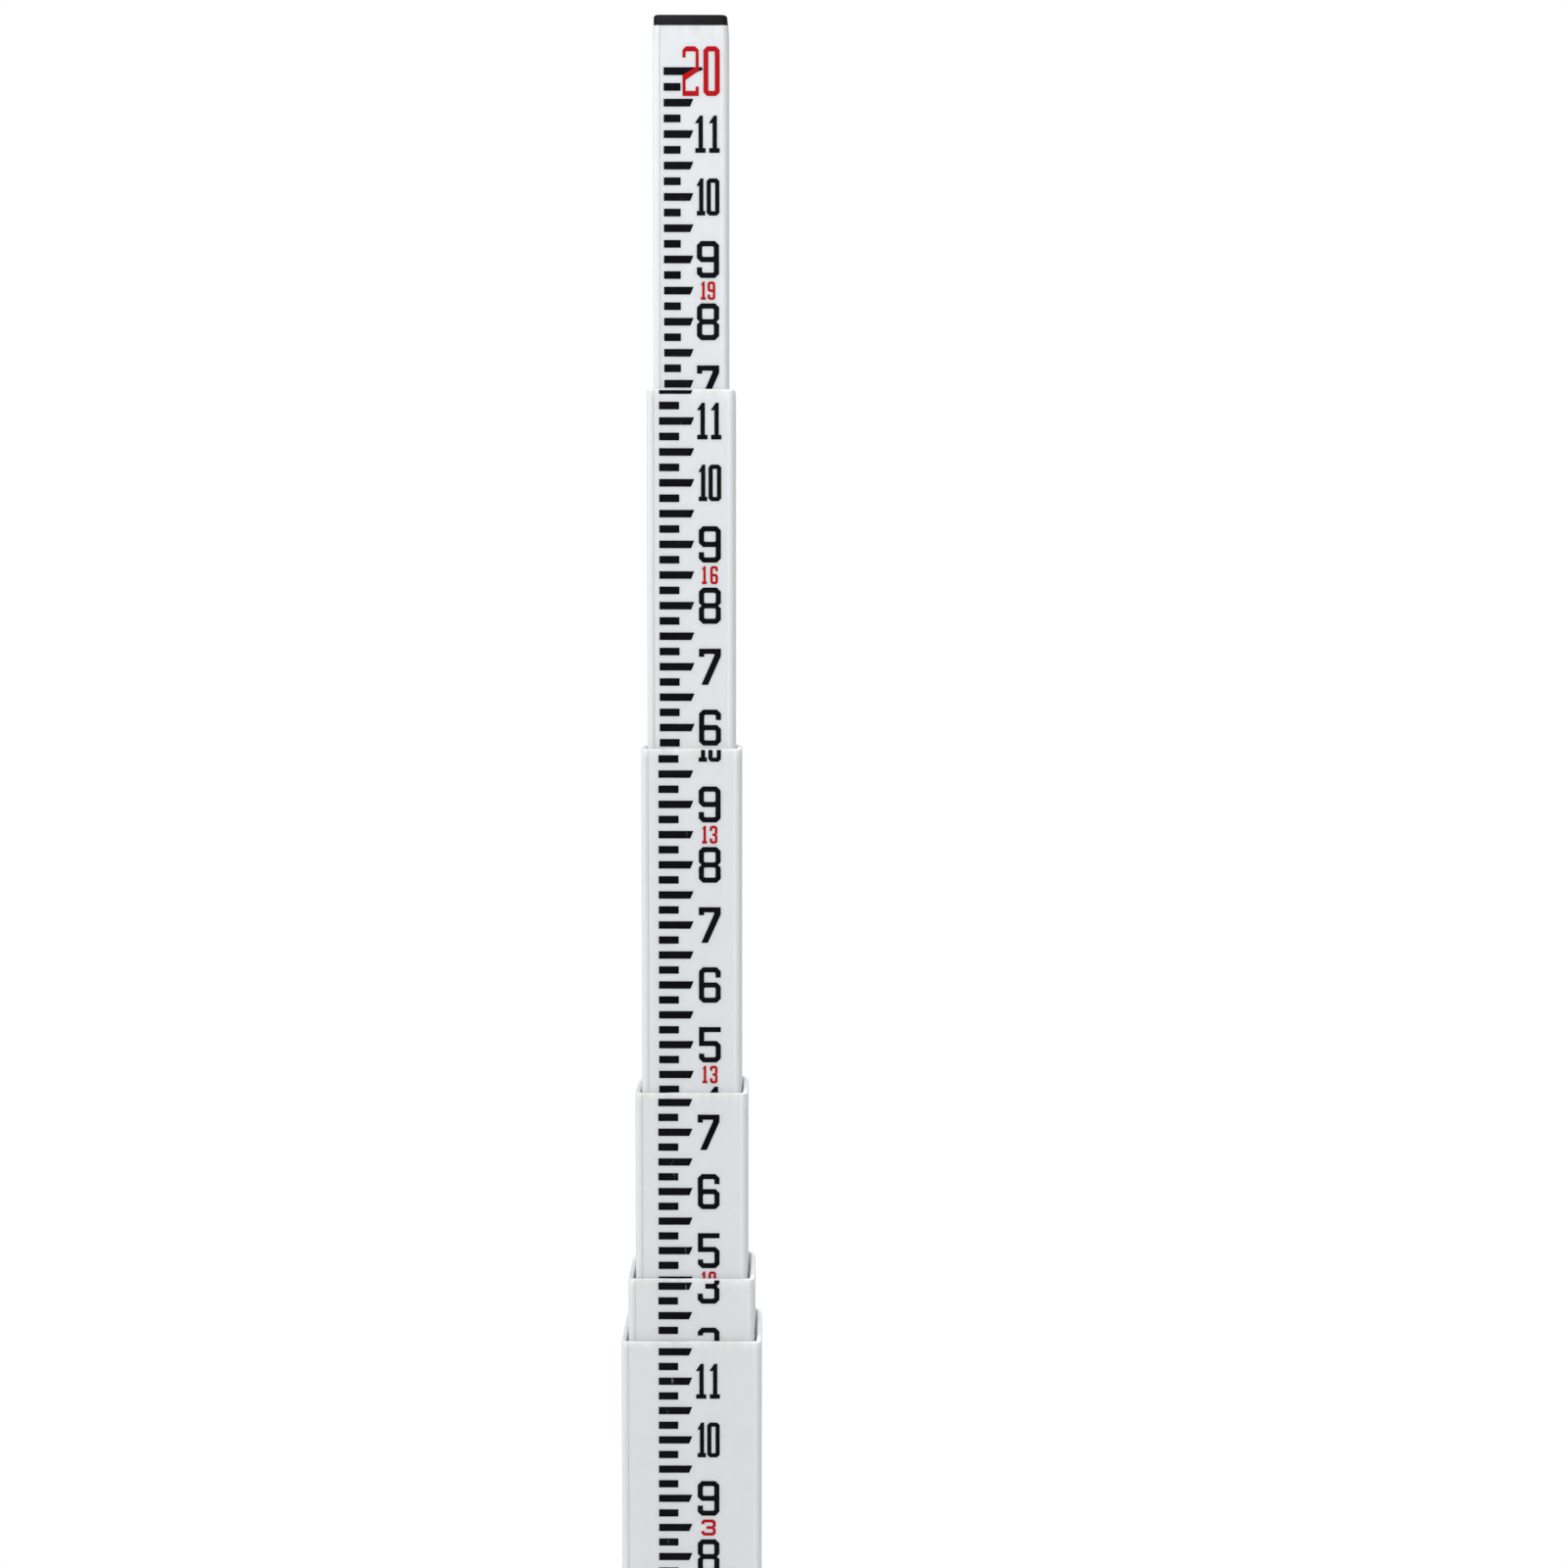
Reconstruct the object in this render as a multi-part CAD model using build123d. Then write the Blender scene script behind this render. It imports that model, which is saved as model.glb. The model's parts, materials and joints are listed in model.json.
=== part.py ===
from build123d import *
import os

# A telescoping leveling rod for surveying: six nested fibreglass tubes of rounded-rectangular
# section. The base tube stands on a metal shoe, and each slimmer tube slides out of the one
# below it. A sprung button in the lower end of each sliding tube locks in a window near the
# top of the tube around it when that tube is fully drawn out.
#
# Frame: origin on the ground at the middle of the shoe, +Z up the rod, the front face with the
# large scale towards -Y, the back face with the lock windows towards +Y. Lengths are in mm.
# Sections are numbered from the ground up: 1 is the base, 6 is the top.

INCH = 25.4

# Cross-sections
SECTION_COUNT = 6
WIDTHS = [59.0, 53.3, 47.3, 41.9, 36.7, 31.2]
WIDTH_OVER_DEPTH = 6.0
WALL = 1.9
FRONT_RADIUS = 2.8
BACK_RADIUS = 5.0

# Heights that the scales give, in inches. A tube's top reading is the height of its rim above
# the ground with every section drawn out.
TOP_READINGS = [47.67, 87.12, 127.66, 165.92, 203.52, 240.73]
CLOSED_STEPS = [1.03, 0.82, 0.93, 0.65, 0.65]
POSED_STEPS = [1.03, 3.11, 5.71, 5.86, 5.82]
WINDOW_DEPTHS = [3.10, 1.40, 3.03, 2.71, 2.34]

# Lock windows and buttons
WINDOW_WIDTH = 18.3
WINDOW_HEIGHT = 16.5
WINDOW_RADIUS = 1.2
BUTTON_PLAY = 0.3
BUTTON_FACE_GAP = 0.25
BUTTON_PROUD = 0.8
LIP_MARGIN = 1.8
LIP_THICKNESS = 2.0
POCKET_MARGIN = 0.3
POCKET_DEPTH = 13.0

# Lock blocks, the plastic plugs in the lower ends of the sliding tubes
FIT_GAP = 0.1
FLANGE_THICKNESS = 2.5
FLANGE_GAP = 0.3
BUTTON_TO_TUBE_END = 18.0
STOP_GAP = 0.5
TOP_BLOCK_RISE = 16.0
HOLLOW_WALL = 3.0
HOLLOW_ROOF = 20.0

# Leaf springs behind the buttons
SPRING_WIDTH = 9.0
SPRING_SPAN = 15.0
SPRING_THICKNESS = 0.4
SPRING_FOOT = 2.0

# Flush rivets that hold the lock blocks and the shoe
RIVET_RADIUS = 1.6
RIVET_HEAD_RADIUS = 2.6
RIVET_HEAD_DEPTH = 1.0
RIVET_GRIP = 4.0
RIVETS_BELOW_BUTTON = 14.0
RIVETS_ABOVE_BUTTON = 12.4
RIVETS_ABOVE_TUBE_END = 8.0

# Shoe at the foot of the base tube
SOLE_THICKNESS = 5.0
SOLE_MARGIN = 0.6
SOLE_CHAMFER = 0.8
SHOE_PLUG_HEIGHT = 22.0
SHOE_HOLLOW_WALL = 6.0
SHOE_RIVET_HEIGHT = 16.0
SHOE_RIVET_SPACING = 24.0

# Cap on the top tube
CAP_THICKNESS = 4.4
CAP_CORNER = 1.6
CAP_PLUG_HEIGHT = 14.0
CAP_PLUG_WALL = 2.2

CUT_MARGIN = 1.0


def width(section):
    return WIDTHS[section - 1]


def depth(section):
    return width(section) - WIDTH_OVER_DEPTH


def rim_heights(steps):
    """Height of each tube's rim above the ground, with each tube standing a step out of the last."""
    heights = [TOP_READINGS[0] * INCH]
    for step in steps:
        heights.append(heights[-1] + step * INCH)
    return heights


posed_rims = rim_heights(POSED_STEPS)
closed_rims = rim_heights(CLOSED_STEPS)
shoe_top = SOLE_THICKNESS + SHOE_PLUG_HEIGHT


def lift(section):
    """How far a section stands above its closed height in the modelled pose."""
    return posed_rims[section - 1] - closed_rims[section - 1]


def closed_button(section):
    """Height of a section's button when the rod is closed: a full draw brings it to its window."""
    drawn_out = TOP_READINGS[section - 1] - TOP_READINGS[section - 2]
    return closed_rims[section - 1] - (drawn_out + WINDOW_DEPTHS[section - 2]) * INCH


def closed_tube_end(section):
    """Height of a tube's lower end when the rod is closed."""
    if section == 1:
        return SOLE_THICKNESS
    if section == 2:
        return shoe_top + STOP_GAP + FLANGE_THICKNESS
    return closed_button(section) - BUTTON_TO_TUBE_END


def closed_block_top(section):
    """Top of a lock block, which is the stop that the next section closes onto."""
    if section == SECTION_COUNT:
        return closed_button(section) + TOP_BLOCK_RISE
    return closed_tube_end(section + 1) - FLANGE_THICKNESS - STOP_GAP


def outline(x_size, y_size, front_radius, back_radius):
    """Rounded rectangle about the rod's axis, with tight front corners and fuller back ones."""
    with BuildSketch() as sketch:
        Rectangle(x_size, y_size)
        fillet(sketch.vertices().group_by(Axis.Y)[0], front_radius)
        fillet(sketch.vertices().group_by(Axis.Y)[-1], back_radius)
    return sketch.sketch


def tube_outline(section, inset=0.0):
    """Outer outline of a tube, drawn in by an inset all round."""
    return outline(
        width(section) - 2 * inset,
        depth(section) - 2 * inset,
        FRONT_RADIUS - min(inset, WALL),
        BACK_RADIUS - min(inset, WALL),
    )


def prism(sketch, low, high):
    """A sketch in the ground plane extruded from one height to another."""
    return extrude(Pos(0, 0, low) * sketch, high - low)


def back_prism(x_size, z_size, corner, height, y_low, y_high):
    """Rounded rectangle seen from the back, extruded along Y about the given height."""
    sketch = RectangleRounded(x_size, z_size, corner)
    plane = Plane(origin=(0, y_low, height), x_dir=(-1, 0, 0), z_dir=(0, 1, 0))
    return extrude(plane * sketch, y_high - y_low)


def window_cut(section, height):
    """The lock window's shape, through the back wall only."""
    back = depth(section) / 2
    low, high = back - WALL - CUT_MARGIN, back + CUT_MARGIN
    return back_prism(WINDOW_WIDTH, WINDOW_HEIGHT, WINDOW_RADIUS, height, low, high)


def rivet_heights(section):
    button = closed_button(section)
    heights = [button - RIVETS_BELOW_BUTTON, button + RIVETS_ABOVE_BUTTON]
    if section == 2:
        heights.append(closed_tube_end(section) + RIVETS_ABOVE_TUBE_END)
    return heights


def side_place(side, x, y, height):
    """A place on the tube's right (+1) or left (-1) side, with its own Z pointing outward."""
    return Plane(origin=(side * x, y, height), x_dir=(0, 1, 0), z_dir=(side, 0, 0))


def flush_rivet():
    """Countersunk rivet along -Z from its head's flat face at the origin."""
    length = WALL + FIT_GAP + RIVET_GRIP
    head = Cone(RIVET_RADIUS, RIVET_HEAD_RADIUS, RIVET_HEAD_DEPTH)
    shank = Cylinder(RIVET_RADIUS, length - RIVET_HEAD_DEPTH)
    shank_middle = -(length + RIVET_HEAD_DEPTH) / 2
    return Pos(0, 0, -RIVET_HEAD_DEPTH / 2) * head + Pos(0, 0, shank_middle) * shank


def block_rivets(section):
    """All the flush rivets of one lock block, at the rod's closed height."""
    return [
        side_place(side, width(section) / 2, 0, height) * flush_rivet()
        for side in (-1, 1)
        for height in rivet_heights(section)
    ]


def shoe_rivets():
    """The four flush rivets of the shoe, two on each side."""
    return [
        side_place(side, width(1) / 2, y, SHOE_RIVET_HEIGHT) * flush_rivet()
        for side in (-1, 1)
        for y in (-SHOE_RIVET_SPACING / 2, SHOE_RIVET_SPACING / 2)
    ]


def tube(section):
    """One fibreglass tube with its lock window and the hole for its own button."""
    low = closed_tube_end(section)
    rim = closed_rims[section - 1]
    body = prism(tube_outline(section), low, rim)
    body -= prism(tube_outline(section, WALL), low - CUT_MARGIN, rim + CUT_MARGIN)
    if section < SECTION_COUNT:
        body -= window_cut(section, rim - WINDOW_DEPTHS[section - 1] * INCH)
    if section == 1:
        for rivet in shoe_rivets():
            body -= rivet
    else:
        body -= window_cut(section, closed_button(section))
        for rivet in block_rivets(section):
            body -= rivet
    return body


def button_shape(section):
    """Sizes along Y of a section's button: its face, the front of its lip and its back."""
    face = depth(section - 1) / 2 - WALL - BUTTON_FACE_GAP
    side_gap = (width(section - 1) - width(section)) / 2 - WALL
    boss = WALL + side_gap + WALL + BUTTON_PROUD
    lip_front = face - boss
    return face, lip_front, lip_front - LIP_THICKNESS


def lock_button(section):
    """Button with a retaining lip, held in by the wall of the tube around it."""
    face, lip_front, back = button_shape(section)
    height = closed_button(section)
    boss = back_prism(
        WINDOW_WIDTH - 2 * BUTTON_PLAY,
        WINDOW_HEIGHT - 2 * BUTTON_PLAY,
        WINDOW_RADIUS - BUTTON_PLAY,
        height,
        lip_front,
        face,
    )
    lip = back_prism(
        WINDOW_WIDTH + 2 * LIP_MARGIN,
        WINDOW_HEIGHT + 2 * LIP_MARGIN,
        WINDOW_RADIUS,
        height,
        back,
        lip_front,
    )
    face_edges = boss.faces().sort_by(Axis.Y)[-1].edges()
    return fillet(face_edges, 0.5) + lip


def button_pocket(section):
    """Space in the lock block for the button's lip, its travel and its spring."""
    block_back = depth(section) / 2 - WALL - FIT_GAP
    return back_prism(
        WINDOW_WIDTH + 2 * (LIP_MARGIN + POCKET_MARGIN),
        WINDOW_HEIGHT + 2 * (LIP_MARGIN + POCKET_MARGIN),
        WINDOW_RADIUS + POCKET_MARGIN,
        closed_button(section),
        block_back - POCKET_DEPTH,
        block_back + CUT_MARGIN,
    )


def lock_block(section):
    """Plug in a tube's lower end, with a flange that guides it in the tube around it."""
    low = closed_tube_end(section)
    top = closed_block_top(section)
    flange_inset = WALL + FLANGE_GAP
    flange = tube_outline(section - 1, flange_inset)
    body = prism(tube_outline(section, WALL + FIT_GAP), low, top)
    body += prism(flange, low - FLANGE_THICKNESS, low)
    body -= button_pocket(section)
    hollow_top = closed_button(section) - HOLLOW_ROOF
    if hollow_top > low:
        hollow = tube_outline(section, WALL + FIT_GAP + HOLLOW_WALL)
        body -= prism(hollow, low - FLANGE_THICKNESS - CUT_MARGIN, hollow_top)
    for rivet in block_rivets(section):
        body -= rivet
    return body


def button_spring(section):
    """Bowed leaf spring between the pocket's floor and the button's back."""
    floor = depth(section) / 2 - WALL - FIT_GAP - POCKET_DEPTH
    bow = button_shape(section)[2] - floor
    half = SPRING_SPAN / 2
    height = closed_button(section)
    with BuildSketch(Plane.YZ) as side_view:
        with BuildLine():
            outer = ThreePointArc((floor, height - half), (floor + bow, height), (floor, height + half))
            upper = Line(outer @ 1, (floor, height + half - SPRING_FOOT / 2))
            inner = ThreePointArc(
                upper @ 1,
                (floor + bow - SPRING_THICKNESS, height),
                (floor, height - half + SPRING_FOOT / 2),
            )
            Line(inner @ 1, outer @ 0)
        make_face()
    return extrude(side_view.sketch, SPRING_WIDTH / 2, both=True)


def base_shoe():
    """Metal shoe: a sole under the base tube and a hollow plug inside it."""
    sole = prism(tube_outline(1, -SOLE_MARGIN), 0, SOLE_THICKNESS)
    sole = chamfer(sole.faces().sort_by(Axis.Z)[0].edges(), SOLE_CHAMFER)
    plug = prism(tube_outline(1, WALL + FIT_GAP), SOLE_THICKNESS, shoe_top)
    hollow = tube_outline(1, WALL + FIT_GAP + SHOE_HOLLOW_WALL)
    body = sole + plug - prism(hollow, SOLE_THICKNESS, shoe_top + CUT_MARGIN)
    for rivet in shoe_rivets():
        body -= rivet
    return body


def top_cap():
    """Plastic cap that closes the top tube, with a plug inside the tube."""
    rim = closed_rims[-1]
    head = prism(tube_outline(SECTION_COUNT), rim, rim + CAP_THICKNESS)
    head = fillet(head.faces().sort_by(Axis.Z)[-1].edges(), CAP_CORNER)
    plug = prism(tube_outline(SECTION_COUNT, WALL + FIT_GAP), rim - CAP_PLUG_HEIGHT, rim)
    hollow = tube_outline(SECTION_COUNT, WALL + FIT_GAP + CAP_PLUG_WALL)
    return head + (plug - prism(hollow, rim - CAP_PLUG_HEIGHT - CUT_MARGIN, rim))


def write(name, section, solids):
    """One STEP file for a node, lifted from the closed height to the modelled pose."""
    node = Compound(label=name, children=list(solids))
    export_step(Pos(0, 0, lift(section)) * node, f"parts/{name}.step")


os.makedirs("parts", exist_ok=True)

write("section_1_tube", 1, tube(1).solids())
write("base_shoe", 1, base_shoe().solids())
write("base_shoe_rivets", 1, shoe_rivets())
write("top_cap", SECTION_COUNT, top_cap().solids())

for number in range(2, SECTION_COUNT + 1):
    name = f"section_{number}"
    write(f"{name}_tube", number, tube(number).solids())
    write(f"{name}_lock_block", number, lock_block(number).solids())
    write(f"{name}_block_rivets", number, block_rivets(number))
    write(f"{name}_lock_button", number, lock_button(number).solids())
    write(f"{name}_button_spring", number, button_spring(number).solids())
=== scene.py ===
import functools
import json
from math import asin, ceil, cos, pi, radians, sin, sqrt

import bmesh
import bpy
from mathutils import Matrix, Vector, noise
from mathutils.geometry import tessellate_polygon


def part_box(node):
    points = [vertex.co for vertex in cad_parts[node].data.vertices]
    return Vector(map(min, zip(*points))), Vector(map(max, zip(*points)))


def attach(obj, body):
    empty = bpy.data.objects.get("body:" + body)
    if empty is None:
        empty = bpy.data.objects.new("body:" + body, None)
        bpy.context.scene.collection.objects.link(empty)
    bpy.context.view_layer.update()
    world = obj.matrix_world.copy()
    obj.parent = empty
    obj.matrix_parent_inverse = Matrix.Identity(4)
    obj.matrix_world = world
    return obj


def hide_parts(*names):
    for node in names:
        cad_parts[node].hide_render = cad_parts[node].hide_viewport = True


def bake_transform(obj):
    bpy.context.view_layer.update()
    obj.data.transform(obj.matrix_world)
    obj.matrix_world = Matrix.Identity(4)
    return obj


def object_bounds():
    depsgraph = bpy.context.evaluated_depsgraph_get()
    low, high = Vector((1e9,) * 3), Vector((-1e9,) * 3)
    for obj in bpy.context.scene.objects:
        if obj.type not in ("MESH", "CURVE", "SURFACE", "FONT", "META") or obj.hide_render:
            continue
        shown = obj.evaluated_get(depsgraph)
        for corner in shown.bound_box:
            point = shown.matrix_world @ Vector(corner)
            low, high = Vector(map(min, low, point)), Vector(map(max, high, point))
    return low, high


# Looks of a telescoping leveling rod: moulded white fibreglass tubes with printed front and back
# scales, lock windows, a black cap, a metal shoe, and the lock blocks, buttons and springs inside.
# Everything is in metres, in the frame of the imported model: +Z up the rod, -Y the front face.

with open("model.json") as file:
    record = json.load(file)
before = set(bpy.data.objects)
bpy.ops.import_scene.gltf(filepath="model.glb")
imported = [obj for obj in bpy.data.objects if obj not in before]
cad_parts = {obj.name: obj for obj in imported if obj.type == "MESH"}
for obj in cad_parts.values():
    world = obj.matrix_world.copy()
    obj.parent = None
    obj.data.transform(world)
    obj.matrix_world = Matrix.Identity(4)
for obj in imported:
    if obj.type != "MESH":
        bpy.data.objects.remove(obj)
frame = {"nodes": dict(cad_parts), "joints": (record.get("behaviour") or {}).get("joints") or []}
cad_low, cad_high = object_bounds()

MM = 0.001
INCH = 0.0254
SECTIONS = range(1, 7)
SLIDING = range(2, 7)
TOP = 6


def body_name(section):
    return "base" if section == 1 else f"section_{section}"


# ---- Sizes read from the frame

WIDTH, DEPTH, TUBE_END, RIM = {}, {}, {}, {}
for section in SECTIONS:
    low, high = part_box(f"section_{section}_tube")
    WIDTH[section] = high.x - low.x
    DEPTH[section] = high.y - low.y
    TUBE_END[section] = low.z
    RIM[section] = high.z

# Each section's front scale reads its rim's height with every section drawn out. The closed step
# is how far a rim stands above the next one down when the rod is closed.
travel = {joint["child"]: joint["range_m"] for joint in frame["joints"]}
TOP_READING = {1: RIM[1]}
CLOSED_STEP = {}
for section in SLIDING:
    step = RIM[section] - RIM[section - 1]
    closed, drawn = travel[f"section_{section}"]
    TOP_READING[section] = TOP_READING[section - 1] + step + drawn
    CLOSED_STEP[section] = step + closed

# ---- Sizes of the tubes' details

WALL = 1.9 * MM
FRONT_RADIUS = 2.8 * MM
BACK_RADIUS = 5.0 * MM
FRONT_RECESS = 0.25 * MM
RECESS_SLOPE = 0.30 * MM
EDGE_ROUND = 0.45 * MM
GROOVE_DEPTH = 0.14 * MM
GROOVED_SECTIONS = (2, 5)
FIT_GAP = 0.1 * MM

# Lock windows: depths below the rim in inches, and the patch of wall around each one
WINDOW_DEPTHS = {1: 3.10, 2: 1.40, 3: 3.03, 4: 2.71, 5: 2.34}
WINDOW_HALF_WIDTH = 9.15 * MM
WINDOW_HALF_HEIGHT = 8.25 * MM
WINDOW_RADIUS = 1.2 * MM
WINDOW_EDGE = 0.35 * MM
WINDOW_MARGIN = 1.2 * MM
PATCH_HALF_WIDTH = WINDOW_HALF_WIDTH + WINDOW_MARGIN
PATCH_HALF_HEIGHT = WINDOW_HALF_HEIGHT + WINDOW_MARGIN

# Steps of the mesh: columns, how close one stands to a bend, arcs, and the least distance
COLUMN_STEP = 3.0 * MM
BEND_HOLD = 0.35 * MM
ARC_STEPS = 10
WINDOW_ARC_STEPS = 6
ROUND_STEPS = 4
HAIR = 0.01 * MM


def window_height(section):
    return RIM[section] - WINDOW_DEPTHS[section] * INCH


def button_height(section):
    low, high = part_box(f"section_{section}_lock_button")
    return (low.z + high.z) / 2


# ---- Mesh building

SMOOTH_ANGLE = radians(25)

def triangles(loops):
    """Counterclockwise triangles over a flat outline with holes, as places among its points."""
    points = [point for loop in loops for point in loop]
    made = []
    for corner in tessellate_polygon([[Vector((*point, 0)) for point in loop] for loop in loops]):
        a, b, c = (points[n] for n in corner)
        turn = (b[0] - a[0]) * (c[1] - a[1]) - (b[1] - a[1]) * (c[0] - a[0])
        made.append(tuple(corner) if turn > 0 else tuple(reversed(corner)))
    return made


def add_object(name, data):
    made = bpy.data.objects.new(name, data)
    bpy.context.scene.collection.objects.link(made)
    return made


class Builder:
    """Points and faces of one piece, with wear values and painted edge shade values for its points."""

    def __init__(self):
        self.points = []
        self.faces = []
        self.wear = []
        self.crease = {}

    def add(self, points, wear=0.0):
        start = len(self.points)
        self.points.extend(points)
        self.wear.extend([wear] * len(points))
        return list(range(start, len(self.points)))

    def strip(self, lower, upper, skip=()):
        """Quads between two closed loops of the same length, leaving out the columns in skip."""
        for i in range(len(lower)):
            if i not in skip:
                j = (i + 1) % len(lower)
                self.faces.append((lower[i], lower[j], upper[j], upper[i]))

    def fan(self, point, loop):
        """Triangles between a point and a closed loop."""
        self.faces += [(point, a, b) for a, b in zip(loop, loop[1:] + loop[:1])]

    def cap(self, loop, up):
        self.faces.append(tuple(loop) if up else tuple(reversed(loop)))

    def fill(self, loops, flip):
        """Triangles over an upright outline with holes, which face +Y, or -Y where flip is true."""
        flat = [[(-self.points[n][0], self.points[n][2]) for n in loop] for loop in loops]
        indices = [n for loop in loops for n in loop]
        for triangle in triangles(flat):
            corners = tuple(indices[n] for n in triangle)
            self.faces.append(corners[::-1] if flip else corners)

    def finish(self, name, material, body, slot, replaces=()):
        mesh = bpy.data.meshes.new(name)
        mesh.from_pydata(self.points, [], self.faces)
        mesh.update()
        crease = [self.crease.get(n, 0.0) for n in range(len(self.points))]
        for key, values in (("wear", self.wear), ("crease", crease)):
            mesh.attributes.new(key, "FLOAT", "POINT").data.foreach_set("value", values)
        mesh.shade_smooth()
        mesh.set_sharp_from_angle(angle=SMOOTH_ANGLE)
        mesh.materials.append(material)
        piece = add_object(name, mesh)
        if body is not None:
            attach(piece, body)
        if replaces:
            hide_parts(*replaces)
        return piece


def spread(start, end, step):
    """Evenly spaced values from start to end, both included, about a step apart."""
    count = max(1, round(abs(end - start) / step))
    return [start + (end - start) * i / count for i in range(count + 1)]


def arc(centre, radius, start_degrees, steps, ends=False):
    """Quarter circle, counterclockwise, with or without its first and last points."""
    picked = range(steps + 1) if ends else range(1, steps)
    angles = [radians(start_degrees + 90 * i / steps) for i in picked]
    return [(centre[0] + radius * cos(a), centre[1] + radius * sin(a)) for a in angles]


def rounded_rectangle(half_x, half_y, radii, steps):
    """Rectangle with a round of its own at each corner, counterclockwise from the lower right."""
    points = []
    for number, (side, rise) in enumerate(((1, -1), (1, 1), (-1, 1), (-1, -1))):
        radius = radii[number]
        centre = (side * (half_x - radius), rise * (half_y - radius))
        points += arc(centre, radius, 90 * number - 90, steps, ends=True)
    return points


def back_corner(centre, radius, start_degrees, groove):
    """A back corner's quarter circle, with three fine grooves along the tube unless groove is None."""
    if groove is None:
        return arc(centre, radius, start_degrees, ARC_STEPS)
    points = []
    steps = 4 * ARC_STEPS
    for share in (i / steps for i in range(1, steps)):
        angle = radians(start_degrees + 90 * share)
        dip = groove * max(0.0, cos(2 * pi * (share * 5 - 2.5))) ** 2
        reach = radius - (dip if 0.2 < share < 0.8 else 0.0)
        points.append((centre[0] + reach * cos(angle), centre[1] + reach * sin(angle)))
    return points


def tube_outline(section, inset, recess, groove):
    """Outline of a tube, counterclockwise from above, starting at the left of the front face."""
    front, back = FRONT_RADIUS - inset, BACK_RADIUS - inset
    half_x, half_y = WIDTH[section] / 2 - inset, DEPTH[section] / 2 - inset
    front_x, front_y = half_x - front, half_y - front
    back_x, back_y = half_x - back, half_y - back
    panel = front_x - RECESS_SLOPE
    row = [-panel, *spread(-panel + BEND_HOLD, panel - BEND_HOLD, COLUMN_STEP), panel]
    side = [-front_y, *spread(-front_y + BEND_HOLD, back_y - BEND_HOLD, COLUMN_STEP), back_y]
    outer = max(back_x - BEND_HOLD, PATCH_HALF_WIDTH + 2 * HAIR)
    patch = spread(PATCH_HALF_WIDTH, -PATCH_HALF_WIDTH, COLUMN_STEP)
    points = [(-front_x, -half_y), *((x, -half_y + recess) for x in row), (front_x, -half_y)]
    points += arc((front_x, -front_y), front, -90, ARC_STEPS)
    points += [(half_x, y) for y in side]
    points += back_corner((back_x, back_y), back, 0, groove)
    points += [(x, half_y) for x in (back_x, outer, *patch, -outer, -back_x)]
    points += back_corner((-back_x, back_y), back, 90, groove)
    points += [(-half_x, y) for y in reversed(side)]
    points += arc((-front_x, -front_y), front, 180, ARC_STEPS)
    return points


def quarter_round(radius, steps=ROUND_STEPS):
    """A rounded edge, as (inset, drop) from the sharp corner, from the side to the top."""
    angles = [pi / 2 * i / steps for i in range(steps + 1)]
    return [(radius * (1 - cos(a)), radius * (1 - sin(a))) for a in angles]


def window_loop(grow):
    """Outline of a lock window, counterclockwise, grown by a margin: (x, z) about its centre."""
    half_x, half_z = WINDOW_HALF_WIDTH + grow, WINDOW_HALF_HEIGHT + grow
    return rounded_rectangle(half_x, half_z, [WINDOW_RADIUS + grow] * 4, WINDOW_ARC_STEPS)


# ---- Materials

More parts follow.
